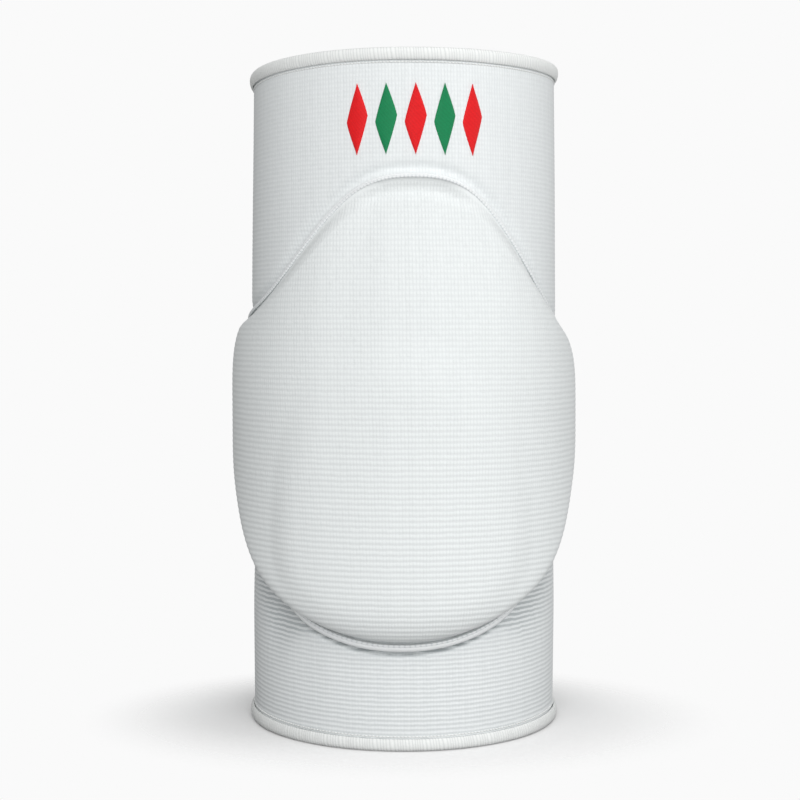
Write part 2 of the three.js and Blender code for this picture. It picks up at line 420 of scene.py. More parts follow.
def sleeve_patches(settings):
    """The sleeve: up its outer wall, down its inner one, and around.

    The outer radius is the bare sleeve's, less the rib depth, plus the rib wave, less a dip along the pad's
    seam that fades out towards the wings' ends. The inner wall follows at the wall's thickness. The columns
    crowd towards the front. Painted shade darkens the grooves, more towards the lower end, and a painted
    shadow of the pad darkens them further in the dip below it.
    """
    ribs = round((SLEEVE_END_HIGH - SLEEVE_END_LOW) / settings.rib_pitch)
    beads = round(GIRTH / settings.bead_pitch)
    outer_count = np.linspace(0, ribs, ribs * SLEEVE_RIB_ROWS + 1)
    inner_count = np.linspace(ribs, 0, ribs + 1)
    count = np.concatenate([outer_count, inner_count, outer_count[:1]])[:, None]
    is_outer = np.concatenate([outer_count >= 0, inner_count < 0, [True]])[:, None]
    rise = count / ribs
    z = mix(SLEEVE_END_LOW, SLEEVE_END_HIGH, rise)
    front = np.linspace(-FRONT_REACH, FRONT_REACH, FRONT_COLUMNS + 1)
    back = np.linspace(FRONT_REACH, 360 - FRONT_REACH, BACK_COLUMNS + 1)[1:]
    angle = np.concatenate([front, back])[None, :]
    relief = mix(*settings.rib_depth, rise) * (rib_wave(count) - 1)
    skin = sleeve_radius(z) + slow_swells(angle, z, settings.unevenness)
    upper, lower = pad_edges(angle)
    from_top, from_low = pad_edge_gaps(angle, z)
    flank, kept = dip_shares(settings, angle)
    beyond = np.where(z < lower, from_low, -from_low)
    above = seam_dip(settings, from_top, 0 * flank) * kept * (z > upper)
    crease = seam_dip(settings, beyond, 1 + flank) * kept * (z < upper)
    pull = settings.dip[0] * above + along_three(settings.dip, 1 + flank) * crease
    radius = skin - pull + np.where(is_outer, relief, -settings.wall - relief)
    grid = closed_ring(around(angle, radius, z + rim_rise(angle, z))[:, :-1])
    across = angle / 360 * beads + settings.column_lean * count
    # Painted shade in the grooves, more towards the lower end, and a painted shadow of the pad in the dip
    # below it, weaker towards +X.
    strength = mix(*settings.groove, rise) + settings.painted_crease_shade * crease
    return [(grid, stitch_map(across, count, mix(*settings.bead_share, rise), strength))]


def pad_rows(settings):
    """Heights of the pad's rows of points and their place counted in ribs.

    The rows are equally far apart along the pad's middle line, which leans from the chin to the crown.
    """
    swing = np.linspace(-np.pi / 2, np.pi / 2, DENSE)
    z = mix(PAD_CHIN_Z, PAD_CROWN_Z, (np.sin(swing) + 1) / 2)
    angle = mix(CHIN_LEAN, CROWN_LEAN, (z - PAD_CHIN_Z) / (PAD_CROWN_Z - PAD_CHIN_Z))
    radius = sleeve_radius(z) + pad_thickness(angle, z)
    length = running_sum(np.hypot(np.diff(z), np.diff(radius)))
    ribs = round(length[-1] / settings.rib_pitch)
    count = np.linspace(0, ribs, ribs * PAD_RIB_ROWS + 1)
    return np.interp(count / ribs * length[-1], length, z), count


def pad_row_ends(z):
    """Angles at which rows of the pad at heights z meet its outline, on the -X side and on the +X side."""
    crown, chin = math.asin(CROWN_LEAN / PAD_REACH), math.asin(CHIN_LEAN / PAD_REACH)
    ends = []
    for half_turn in (-np.pi, np.pi):
        angle, height = pad_outline(np.linspace(crown, half_turn - chin, DENSE))
        falling = np.minimum.accumulate(height)
        ends.append(np.interp(z, falling[::-1], angle[::-1]))
    return ends


def edge_slopes(angle):
    """Rise of the pad's upper and lower edge for each length around the sleeve, at angles."""
    ahead, behind = pad_edges(angle + SLOPE_STEP), pad_edges(angle - SLOPE_STEP)
    return [(after - before) / (2 * SLOPE_STEP * DEGREE_LENGTH) for after, before in zip(ahead, behind)]


def pad_edge_gaps(angle, z):
    """Distances over the sleeve from points of the pad to its upper and to its lower edge.

    Each is the difference in height, shortened by the slope of the edge at that angle.
    """
    edges = zip(pad_edges(angle), edge_slopes(angle))
    return [np.abs(edge - z) / np.sqrt(1 + slope**2) for edge, slope in edges]


def lower_edge_way(angle):
    """The way into the pad from its lower edge at angles, as shares around the sleeve and up it."""
    slope = edge_slopes(angle)[1]
    size = np.sqrt(1 + slope**2)
    return -slope / size, 1 / size


def seamed_thickness(settings, angle, z, from_top):
    """Thickness of the pad with its upper seam, at angles, heights and distances from that seam.

    Below the crown's seam the thickness first falls from the seam's ridge, exponentially, into a valley
    before it climbs to the dome. On both sides of the crown it rises from the seam in a straight slope.
    """
    shoulder = smoothstep(np.abs(angle), SHOULDER_FROM, SHOULDER_TO)
    side = ridge_side(angle)
    climb = smoothstep(from_top, settings.climb_start * (1 - side), mix(*settings.climb_end, side))
    ridge = settings.ridge_height * (1 - RIDGE_DROP * side)
    step = settings.step_height * np.clip(from_top / settings.step_width, 0, 1) * side
    fall = np.exp(-from_top / mix(settings.ridge_fall, settings.step_fall, side))
    return pad_thickness(angle, z) * climb + (ridge + step) * (1 - shoulder) * fall


def lower_tuck(settings, angle, from_top, from_low):
    """How far points of the pad move in from its lower edge, at angles and distances from both edges.

    The foot is tucked in and the wall over it hangs out, by lengths that fall off exponentially, and less so
    at the chin than at the flanks.
    """
    flank = smoothstep(np.abs(angle), FLANK_FROM, FLANK_TO)
    tuck = settings.undercut * np.exp(-from_low / settings.undercut_fall)
    tuck = tuck - settings.overhang * np.exp(-from_low / settings.overhang_fall)
    return tuck * mix(settings.chin_share, 1, flank) * smoothstep(from_top, 0, FLANK_MARGIN)


def pad_patches(settings):
    """The pad: rows at constant heights across its front, and back along the sleeve.

    The front radius is the sleeve's plus the pad's thickness and a rib wave that fades at the edge, and along
    the lower edge the points are tucked in. Points crowd towards the ends of each row. The back lies on the
    sleeve and shares the front's outline.
    """
    z, count = pad_rows(settings)
    left, right = pad_row_ends(z)
    z, count, left, right = (value[:, None] for value in (z, count, left, right))
    step = np.linspace(-1, 1, PAD_COLUMNS + 1)[None, :]
    angle = mix(left, right, (step * (1 + EDGE_CROWDING * (1 - step**2)) + 1) / 2)
    back_angle = mix(left, right, np.linspace(1, 0, PAD_BACK_COLUMNS + 1)[None, :])
    from_top, from_low = pad_edge_gaps(angle, z)
    thickness = seamed_thickness(settings, angle, z, from_top)
    thickness[:, [0, -1]] = 0
    thickness[[0, -1]] = 0
    hold = smoothstep(from_top, *settings.upper_margin) * smoothstep(from_low, 0, settings.lower_margin)
    depth = mix(*settings.rib_depth, (z - PAD_CHIN_Z) / (PAD_CROWN_Z - PAD_CHIN_Z))
    relief = depth * (rib_wave(count) - 1) + slow_swells(angle, z, settings.unevenness)
    lift = CLEARANCE + thickness + relief * hold
    tuck = lower_tuck(settings, angle, from_top, from_low)
    inwards, upwards = lower_edge_way(angle)
    arc = math.radians(1) * (SLEEVE_RADIUS + DOME_SIDE_LIFT)
    front = around(angle + inwards * tuck / arc, sleeve_radius(z) + lift, z + upwards * tuck)
    back = around(back_angle, sleeve_radius(z) + CLEARANCE, z)
    back[:, 0], back[:, -1] = front[:, -1], front[:, 0]
    back[[0, -1]] = front[[0, -1], :1]
    rise = count / count[-1]
    # Painted shade in the grooves, darker towards the chin, and none on the back.
    beads, grooves = mix(*settings.bead_share, rise), mix(*settings.groove, rise)
    patches = []
    for grid, turned, shown in ((front, angle, hold), (back, back_angle, 0 * back_angle)):
        lean = settings.column_lean * count * (1 - turned / PAD_REACH) / 2
        across = turned * arc / mix(*settings.bead_pitch, rise) + lean
        patches.append((grid, stitch_map(across, count, shown * beads, shown * grooves)))
    return patches


def outline_path(step):
    """Points about a step apart along the pad's outline.

    Returns angles, heights, the way outwards as shares along the sleeve and up it, and the length so far.
    """
    angle, z = pad_outline(np.linspace(0, 2 * np.pi, 4 * DENSE))
    length = running_sum(np.hypot(np.diff(angle) * DEGREE_LENGTH, np.diff(z)))
    places = np.linspace(0, length[-1], round(length[-1] / step) + 1)
    angle = np.interp(places, length, angle)
    z = np.interp(places, length, z)
    along = np.gradient(angle * DEGREE_LENGTH)
    rise = np.gradient(z)
    along[[0, -1]] = (along[0] + along[-1]) / 2
    rise[[0, -1]] = (rise[0] + rise[-1]) / 2
    size = np.hypot(along, rise)
    return angle, z, -rise / size, along / size, places


def along_outline(path, across, height):
    """Points at distances across the outline, outwards, and heights over the sleeve, along a path."""
    angle, z, out_along, out_up, _ = path
    new_z = z[:, None] + out_up[:, None] * across
    turned = angle[:, None] + out_along[:, None] * across / DEGREE_LENGTH
    return around(turned, sleeve_radius(new_z) + height, new_z)


def tube_along_outline(path, offset, lift, wide, high, sink, roll, swell):
    """A tube along the outline: an ellipse around a point at an offset and lift, swollen by an array.

    Its lower half reaches deeper by what it sinks.
    """
    across = offset - wide * np.cos(roll) * swell
    side = np.sin(roll)
    grid = along_outline(path, across, lift + np.where(side < 0, high + sink, high) * side * swell)
    grid[:, -1] = grid[:, 0]
    grid[-1] = grid[0]
    return grid


def seam_patches(settings, sleeve):
    """The seam: a smooth welt along the outline and a rope of slanted stitches on it.

    Each size is a pair, above the pad and under it, and runs smoothly from one to the other with the way
    that the outline faces. Under the flanks the seam is tucked in, and its foot reaches down into the dip of
    the sleeve. Beside the crown it stands lower. The rope's radius swells along each stitch as a rounded sine
    whose phase turns with the roll around it.
    """
    path = outline_path(settings.stitch[0] / SEAM_STITCH_STEPS)
    angle, _, _, out_up, places = path
    angle = angle[:, None]
    under = smoothstep(-out_up, UNDER_FROM, UNDER_TO)[:, None]
    flank, kept = dip_shares(sleeve, angle)
    stand = 1 - SEAM_DROP * ridge_side(angle) * (1 - under)
    pitch = mix(*settings.stitch, under[:, 0])
    count = running_sum(np.diff(places) / ((pitch[1:] + pitch[:-1]) / 2))
    count = (count * round(count[-1]) / count[-1])[:, None]
    share = np.linspace(0, 1, settings.sides + 1)[None, :]
    roll = 2 * np.pi * share
    slanted = np.abs(np.sin(np.pi * (count + settings.stitch_slant * share)))
    stitched = 1 + settings.stitch_relief * (slanted - STITCH_MEAN)
    patches = []
    # Painted shade in the grooves between the rope's threads; none on the welt.
    for part, swell, groove in (("welt", 1.0, 0.0), ("rope", stitched, 1.0)):
        sizes = [getattr(settings, f"{part}_{size}") for size in ("offset", "lift", "width", "height")]
        offset, lift, wide, high = (mix(*pair, under) for pair in sizes)
        offset = offset - settings.tuck * flank * under
        sink = along_three(sleeve.dip, 1 + flank) * seam_dip(sleeve, offset, 1 + flank) * kept * under
        grid = tube_along_outline(path, offset, lift * stand, wide, high * stand, sink, roll, swell)
        patches.append((grid, stitch_map(count, share, 1.0, groove)))
    return patches


def hem_ring(angle, reach, depth, at_top):
    """Points of a hem, at reaches from the sleeve's outer face and depths from the end of the object."""
    z = HEIGHT - depth if at_top else depth
    grid = closed_ring(around(angle, sleeve_radius(z) + reach, z + rim_rise(angle, z))[:, :-1])
    grid[-1] = grid[0]
    return grid


def hem_growth(settings, angle):
    """How many times taller than at the front a hem is at angles."""
    return 1 + settings.side_growth * np.sin(np.radians(angle)) ** 2


def hem_wrap(settings, at_top):
    """A hem: its folded profile turned around the sleeve, with the ridges of the threads that wrap it.

    The profile is rounded by cutting its corners, and it grows taller towards the sides. A thread stands out
    from the fold along the outward normal as the root of a sine of the turn, counted in threads, which slants
    along the profile and wanders a little. Slow swells run around the hem.
    """
    after = np.roll(HEM_FOLD, -1, axis=0)
    cuts = [mix(HEM_FOLD, after, share) for share in (CORNER_CUT, 1 - CORNER_CUT)]
    fold = np.stack(cuts, axis=1).reshape(-1, 2)
    fold = np.concatenate([fold, fold[:1]])
    if not at_top:
        fold = fold[::-1]
    sides = np.roll(fold[:-1], -1, axis=0) - np.roll(fold[:-1], 1, axis=0)
    sides = np.concatenate([sides, sides[:1]])
    sides = sides / np.linalg.norm(sides, axis=1, keepdims=True)
    way = 1 if at_top else -1
    out_reach, out_depth = -sides[:, 1:] * way, sides[:, :1] * way
    along = running_sum(np.linalg.norm(np.diff(fold, axis=0), axis=1))[:, None] / settings.thread_pitch
    threads = round(GIRTH / settings.thread_pitch)
    turn = np.linspace(0, threads, threads * settings.thread_steps + 1)[None, :]
    wander = sum(size * np.sin(rate * turn + phase) for size, rate, phase in HEM_WANDER)
    count = turn + settings.thread_slant * along + wander * np.sin(np.pi * turn / threads)
    ridge = settings.thread_depth * (np.abs(np.sin(np.pi * count)) ** HEM_THREAD_POWER - 1)
    angle = turn / threads * 360 - 180
    swells = [np.sin(waves * np.radians(angle) + phase) for waves, phase in HEM_SWELLS]
    reach = fold[:, :1] + out_reach * (ridge + settings.unevenness * np.prod(swells, axis=0))
    depth = (fold[:, 1:] + out_depth * ridge) * hem_growth(settings, angle)
    return hem_ring(angle, reach, depth, at_top), stitch_map(count, along, 1.0, 1.0)


def hem_row(settings, at_top):
    """The row of small stitches along a hem's lip: a thin ring that swells with each stitch."""
    stitches = round(GIRTH / settings.stitch_pitch)
    count = np.linspace(0, stitches, stitches * HEM_STITCH_STEPS + 1)[None, :]
    roll = np.linspace(0, 2 * np.pi, HEM_STITCH_SIDES + 1)[:, None] * (1 if at_top else -1)
    size = settings.stitch_radius * mix(HEM_STITCH_WAIST, 1, np.abs(np.sin(np.pi * count)))
    angle = count / stitches * 360 - 180
    depth = settings.stitch_depth * hem_growth(settings, angle)
    grid = hem_ring(angle, size * np.cos(roll), depth - size * np.sin(roll), at_top)
    return grid, stitch_map(count, roll / np.pi, 1.0, 1.0)


def lozenge_patches(settings, index):
    """One satin-stitched lozenge on the sleeve: a front of thread ridges and a back on the knit.

    Half its width falls from the middle to both tips. The front swells as the root of a parabola across and
    carries a ridge for each thread along its height.
    """
    threads = round(2 * settings.half_height / settings.thread_pitch)
    rise = np.linspace(-1, 1, threads * LOZENGE_THREAD_STEPS + 1)[:, None]
    across = np.sin(np.linspace(-1, 1, settings.columns + 1) * np.pi / 2)[None, :]
    count = threads * (rise + 1) / 2
    half_width = settings.half_width * (1 - np.abs(rise) ** settings.tip_power)
    middle = (index - (settings.count - 1) / 2) * settings.spacing
    z = settings.middle_z + settings.half_height * rise + settings.thread_slant * half_width * across
    angle = settings.middle_angle + (middle + half_width * across) / DEGREE_LENGTH
    ridge = np.abs(np.sin(np.pi * count)) ** LOZENGE_THREAD_POWER
    crown = np.sqrt(np.maximum(0, 1 - across**2))
    lift = crown * (settings.lift + settings.thread_depth * (ridge - 1))
    lift[[0, -1]] = 0
    base = sleeve_radius(z) - settings.sink
    z = z + rim_rise(angle, z)
    front = around(angle, base + lift, z)
    back = around(angle, base, z)[:, ::-1]
    ends = [0, -1]
    back[:, ends] = front[:, ::-1][:, ends]
    along = half_width * across / settings.thread_pitch
    grids = ((front, along), (back, along[:, ::-1]))
    return [(grid, stitch_map(count, place_along, 1.0, 1.0)) for grid, place_along in grids]


def add_node(tree, kind, inputs=None, output=0, **settings):
    """A shader node with settings and inputs, each a value or another node's output.

    Returns one of its outputs, or nothing for a node that ends a tree.
    """
    made = tree.nodes.new(f"ShaderNode{kind}")
    for name, value in settings.items():
        setattr(made, name, value)
    for socket, value in (inputs or {}).items():
        if isinstance(value, bpy.types.NodeSocket):
            tree.links.new(value, made.inputs[socket])
        else:
            made.inputs[socket].default_value = value
    return made.outputs[output] if made.outputs else None


def calc(tree, operation, *values, kind="Math"):
    """A Math node on values and outputs, or one of another kind."""
    return add_node(tree, kind, dict(enumerate(values)), operation=operation)


def times(tree, first, second):
    """Two values or outputs multiplied."""
    return calc(tree, "MULTIPLY", first, second)


def spread(tree, value, low, high):
    """An output between 0 and 1 laid out from low to high."""
    return calc(tree, "MULTIPLY_ADD", value, high - low, low)


def ramp(tree, value, start, end, low=0.0, high=1.0):
    """A smooth step of an output from low to high between start and end."""
    inputs = {"Value": value, "From Min": start, "From Max": end, "To Min": low, "To Max": high}
    return add_node(tree, "MapRange", inputs, interpolation_type="SMOOTHSTEP")


def hump(tree, count):
    """0 between two stitches and 1 on the middle of each, at a count of them: the size of a sine."""
    return calc(tree, "ABSOLUTE", calc(tree, "SINE", times(tree, count, math.pi)))


def chance_of(tree, count):
    """A number for each whole count, by chance between 0 and 1."""
    return add_node(tree, "TexWhiteNoise", {"W": calc(tree, "FLOOR", count)}, noise_dimensions="1D")


def split(tree, vector):
    """The first two numbers of a vector."""
    parts = tree.nodes.new("ShaderNodeSeparateXYZ")
    tree.links.new(vector, parts.inputs[0])
    return parts.outputs[0], parts.outputs[1]


def tint(tree, factor, first, second):
    """A colour on the way from the first to the second by a factor."""
    inputs = {"Factor": factor, "A": (*first, 1.0), "B": (*second, 1.0)}
    return add_node(tree, "Mix", inputs, "Result", data_type="RGBA")


def knit_pattern(tree, given):
    """Knit on coordinates counted in stitches, u in beads and v in ribs.

    A bead stands highest on the upper part of each rib: a half sine across, a smooth window along. Its place
    wanders with a slow noise, and its height changes from bead to bead and from column to column. The groove
    mask is painted shade, 1 between the beads and under the ribs. The shares fade beads and that painted
    shade.
    """
    wobble = add_node(tree, "TexNoise", {"Vector": given["Stitches"], "Scale": 0.31, "Detail": 2.0}, 1)
    shift = calc(tree, "SUBTRACT", wobble, (0.5, 0.5, 0.5), kind="VectorMath")
    shift = add_node(tree, "VectorMath", {0: shift, "Scale": given["Wander"]}, operation="SCALE")
    moved = calc(tree, "ADD", given["Stitches"], shift, kind="VectorMath")
    cell = calc(tree, "FLOOR", moved, kind="VectorMath")
    chance = add_node(tree, "TexWhiteNoise", {"Vector": cell}, noise_dimensions="3D")
    across, along = split(tree, moved)
    bead_share, painted_shade_share = split(tree, given["Shares"])
    column = chance_of(tree, across)
    bead = calc(tree, "POWER", hump(tree, across), BEAD_POWER)
    part = calc(tree, "FRACT", along)
    rises = ramp(tree, calc(tree, "SUBTRACT", part, given["Bead Start"]), 0.0, BEAD_RISE)
    window = times(tree, rises, ramp(tree, part, BEAD_FALL, 1.0, 1.0, 0.0))
    size = times(tree, spread(tree, chance, 0.5, 1.0), spread(tree, column, 0.8, 1.15))
    stand = times(tree, spread(tree, window, 0.5, 1.0), bead_share)
    body = times(tree, times(tree, bead, stand), size)
    fuzz = add_node(tree, "TexNoise", {"Vector": moved, "Scale": 5.0, "Detail": 3.0, "Roughness": 0.6})
    height = times(tree, calc(tree, "MULTIPLY_ADD", fuzz, BEAD_FUZZ, body), given["Bead Height"])
    # Painted shade: the gaps between beads and the band under each row of beads are darkened.
    gap = times(tree, calc(tree, "SUBTRACT", 1.0, bead), given["Painted Gap Shade"])
    under = times(tree, calc(tree, "SUBTRACT", 1.0, window), painted_shade_share)
    groove = calc(tree, "MULTIPLY_ADD", gap, stand, under)
    return height, groove, times(tree, calc(tree, "ADD", chance, column), 0.5)


def thread_pattern(tree, given):
    """Twisted thread in thread counts: fine slanted fibres, slow uneven tension and painted shade in its
    grooves.
    """
    across, along = split(tree, given["Stitches"])
    _, painted_shade_share = split(tree, given["Shares"])
    twist = calc(tree, "MULTIPLY_ADD", along, given["Twist"], times(tree, across, FIBRES))
    inputs = {"Vector": given["Stitches"], "Scale": 2.3, "Detail": 4.0, "Roughness": 0.6}
    fuzz = add_node(tree, "TexNoise", inputs)
    strand = times(tree, hump(tree, twist), FIBRE_SHARE)
    height = times(tree, calc(tree, "MULTIPLY_ADD", fuzz, FIBRE_FUZZ, strand), given["Fibre Height"])
    # Painted shade in the valley beside each thread.
    valley = calc(tree, "POWER", calc(tree, "SUBTRACT", 1.0, hump(tree, across)), VALLEY_POWER)
    groove = times(tree, valley, painted_shade_share)
    return height, groove, times(tree, calc(tree, "ADD", chance_of(tree, across), fuzz), 0.5)


PATTERNS = {"Ribbed knit": knit_pattern, "Twisted thread": thread_pattern}


def pattern_group(name, numbers):
    """The shader node group of a pattern, built once.

    Its inputs are the piece's stitch counts and shares and some numbers. Its outputs are a height in metres,
    a groove mask, which is painted shade, and a streak mask.
    """
    if name in bpy.data.node_groups:
        return bpy.data.node_groups[name]
    tree = bpy.data.node_groups.new(name, "ShaderNodeTree")
    sockets = [(label, "INPUT", "NodeSocketVector") for label in MAPS]
    sockets += [(label, "INPUT", "NodeSocketFloat") for label in numbers]
    sockets += [(label, "OUTPUT", "NodeSocketFloat") for label in MASKS]
    for label, side, kind in sockets:
        tree.interface.new_socket(label, in_out=side, socket_type=kind)
    results = PATTERNS[name](tree, tree.nodes.new("NodeGroupInput").outputs)
    end = tree.nodes.new("NodeGroupOutput")
    for label, result in zip(MASKS, results):
        tree.links.new(result, end.inputs[label])
    return tree


def emptied_tree(owner):
    """The node tree of a material or a world, with no nodes in it."""
    owner.use_nodes = True
    owner.node_tree.nodes.clear()
    return owner.node_tree


def cloth_material(name, pattern, numbers, colors, streak, roughness, sheen):
    """A cloth finish: a pattern on the piece's own stitch counts, tinted from its colour to a painted shade
    colour.
    """
    material = bpy.data.materials.new(name)
    tree = emptied_tree(material)
    group = tree.nodes.new("ShaderNodeGroup")
    group.node_tree = pattern_group(pattern, numbers)
    for label in MAPS:
        tree.links.new(add_node(tree, "UVMap", uv_map=label), group.inputs[label])
    for label, value in numbers.items():
        group.inputs[label].default_value = value
    height, groove, streaks = (group.outputs[label] for label in MASKS)
    finish = {
        # Painted shade: the groove mask, with the random streaks, moves the colour towards the painted shade
        # colour.
        "Base Color": tint(tree, calc(tree, "MULTIPLY_ADD", streaks, streak, groove), *colors),
        "Normal": add_node(tree, "Bump", {"Height": height, "Distance": 1.0}),
        "Roughness": roughness,
        "Specular IOR Level": 0.25,
        "Sheen Weight": sheen,
        "Sheen Roughness": 0.5,
    }
    add_node(tree, "OutputMaterial", {"Surface": add_node(tree, "BsdfPrincipled", finish)})
    return material


def place(piece, node=None):
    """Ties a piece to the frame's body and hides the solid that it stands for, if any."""
    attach(piece, BODY)
    if node is not None:
        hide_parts(node)


def number_prop(name, description, values, **kind):
    """A number, or a few of them that belong together."""
    if len(values) == 1:
        return FloatProperty(name=name, description=description, default=values[0], **kind)
    return FloatVectorProperty(name=name, description=description, default=values, size=len(values), **kind)


def length_prop(name, description, *values):
    """Lengths given in millimetres and kept in metres, to a hundredth of a millimetre in the sidebar."""
    return number_prop(name, description, [value * MM for value in values], unit="LENGTH", precision=5)


def share_prop(name, description, *values):
    """Plain numbers."""
    return number_prop(name, description, values, precision=3)


def power_prop(name, description, value):
    """The power of a light in watts."""
    return number_prop(name, description, [value], unit="POWER")


def count_prop(name, description, value, least):
    """A whole number with a lower limit."""
    return IntProperty(name=name, description=description, default=value, min=least)


def color_prop(name, description, *values):
    """A linear colour."""
    return number_prop(name, description, values, subtype="COLOR", min=0, max=1)


class SleeveSettings(PropertyGroup):
    """The tube of fine rib knit. Pairs are for its lower and its upper end.

    Sets of three are for the seam above the pad, under its chin and under its flanks.
    """

    wall: length_prop("Wall", "Thickness of the knit", 2)
    rib_pitch: length_prop("Rib pitch", "Height of one rib", 1.66)
    rib_depth: length_prop("Rib depth", "Depth of the grooves", 0.27, 0.05)
    # Painted shade: how dark the grooves are painted at both ends, and how much painted shadow of the pad is
    # added in the dip below it.
    groove: share_prop("Groove shade", "How dark the grooves are", 0.3, 0.07)
    painted_crease_shade: share_prop("Crease groove shade", "How much darker they are in the dip under the pad", 2.0)
    bead_pitch: length_prop("Bead pitch", "Width of one column of stitches", 1.18)
    bead_height: length_prop("Bead height", "How far a stitch stands out", 0.075)
    bead_share: share_prop("Bead share", "How much of the beads shows", 0.35, 1.05)
    column_lean: share_prop("Column lean", "Beads by which a column shifts per rib", 0.02)
    unevenness: length_prop("Unevenness", "Slow swells of the cloth", 0.12)
    dip: length_prop("Dip", "How far the pad's seam pulls the cloth in beside it", 1.4, 3.0, 6.0)
    dip_at: length_prop("Dip offset", "Distance of the dip from the pad's edge", 3.0, 4.5, 1.0)
    dip_width: length_prop("Dip width", "Half the width of the dip", 2.0, 0.9, 14)
    dip_ease: share_prop("Dip ease", "Share by which the dip is shallower under the flank towards +X", 0.35)
    color: color_prop("Colour", "Colour of the knit", 0.785, 0.812, 0.816)
    # The colour of the painted shade in the grooves.
    painted_shade_color: color_prop("Groove colour", "Colour between the stitches", 0.48, 0.51, 0.52)


class PadSettings(PropertyGroup):
    """The padded front of coarser rib knit over foam. Pairs of the knit are for its chin and its crown."""

    rib_pitch: length_prop("Rib pitch", "Height of one rib", 1.96)
    rib_depth: length_prop("Rib depth", "Depth of the grooves", 0.2, 0.04)
    # Painted shade: how dark the grooves are painted at the chin and at the crown.
    groove: share_prop("Groove shade", "How dark the grooves are", 0.32, 0.22)
    bead_pitch: length_prop("Bead pitch", "Width of one column of stitches", 1.05, 1.27)
    bead_height: length_prop("Bead height", "How far a stitch stands out", 0.13)
    bead_share: share_prop("Bead share", "How much of the beads shows", 0.25, 1.25)
    column_lean: share_prop("Column lean", "Beads by which a column shifts per rib on one side", 0.05)
    unevenness: length_prop("Unevenness", "Slow swells of the cloth", 0.2)
    ridge_height: length_prop("Ridge height", "Height of the upper seam's ridge over the sleeve", 2.8)
    ridge_fall: length_prop("Ridge fall", "Length over which the ridge falls off", 2.6)
    climb_start: length_prop("Climb start", "Distance from the crown's seam at which the pad rises", 4.2)
    climb_end: length_prop("Climb end", "Distance at which it has risen, at the crown and beside it", 9, 5)
    step_height: length_prop("Step height", "How far the pad rises from the seam beside the crown", 3.9)
    step_width: length_prop("Step width", "Distance over which it does", 7.0)
    step_fall: length_prop("Step fall", "Distance over which that step fades into the dome", 22)
    upper_margin: length_prop("Upper margin", "Where the ribs begin and are whole below the seam", 1.2, 2.6)
    lower_margin: length_prop("Lower margin", "Width of the plain cloth above the lower seam", 1.5)
    undercut: length_prop("Undercut", "How far the lower edge is tucked in under the pad", 3.4)
    undercut_fall: length_prop("Undercut fall", "Distance from that edge over which the tuck ends", 0.3)
    overhang: length_prop("Overhang", "How far the wall over that edge hangs out", 1.6)
    overhang_fall: length_prop("Overhang fall", "Distance from that edge over which the overhang ends", 5)
    chin_share: share_prop("Chin share", "Share of both at the chin", 0.35)
    fill: share_prop("Fill", "How full the pad is", 0.9)
    color: color_prop("Colour", "Colour of the knit", 0.78, 0.808, 0.808)
    # The colour of the painted shade in the grooves.
    painted_shade_color: color_prop("Groove colour", "Colour between the stitches", 0.62, 0.648, 0.652)


class SeamSettings(PropertyGroup):
    """The raised stitched seam around the pad. Pairs are for above the pad and under it."""

    welt_offset: length_prop("Welt offset", "Distance of the welt outside the pad's edge", 0.4, 2.6)
    welt_lift: length_prop("Welt lift", "Height of the welt's middle over the sleeve", 0.7, 0.9)
    welt_width: length_prop("Welt half width", "Half the width of the welt", 0.6, 1.4)
    welt_height: length_prop("Welt half height", "Half the height of the welt", 1.9, 1.4)
    rope_offset: length_prop("Stitch offset", "Distance of the stitches outside the pad's edge", -0.25, 1.8)
    rope_lift: length_prop("Stitch lift", "Height of the stitches' middle over the sleeve", 2.5, 2.0)
    rope_width: length_prop("Stitch half width", "Half the width of the stitches", 0.55, 0.5)
    rope_height: length_prop("Stitch half height", "Half the height of the stitches", 0.8, 0.5)
    stitch: length_prop("Stitch", "Length of a stitch", 1.3, 1.8)
    tuck: length_prop("Tuck", "How far the seam is tucked in under the pad's flanks", 3.0)
    stitch_relief: share_prop("Stitch relief", "Share by which a stitch swells", 0.25)
    stitch_slant: share_prop("Stitch slant", "Stitches by which the slant shifts around the seam", 2.0)
    sides: count_prop("Sides", "Sides of each tube", 10, 6)
    color: color_prop("Colour", "Colour of the thread", 0.81, 0.83, 0.835)
    # The colour of the painted shade between the threads.
    painted_shade_color: color_prop("Groove colour", "Colour between the threads", 0.66, 0.69, 0.7)


class HemSettings(PropertyGroup):
    """The overlocked yarn edges."""

    thread_pitch: length_prop("Thread pitch", "Width of one thread of the wrapping", 1.1)
    thread_depth: length_prop("Thread depth", "Depth of the grooves between threads", 0.12)
    thread_slant: share_prop("Thread slant", "Slant of the threads along the fold", 0.1)
    thread_steps: count_prop("Thread steps", "Points across a thread", 4, 3)
    unevenness: length_prop("Unevenness", "Slow swells of the edge", 0.15)
    side_growth: share_prop("Side growth", "Share by which the hem is taller at the sides", 0.15)
    stitch_pitch: length_prop("Stitch pitch", "Length of one stitch of the row along the lip", 1.3)
    stitch_radius: length_prop("Stitch radius", "Half the width of that row", 0.3)
    stitch_depth: length_prop("Stitch depth", "Distance of that row from the end", 5.2)
    color: color_prop("Colour", "Colour of the yarn", 0.855, 0.87, 0.86)
    # The colour of the painted shade between the threads.
    painted_shade_color: color_prop("Groove colour", "Colour between the threads", 0.7, 0.72, 0.71)


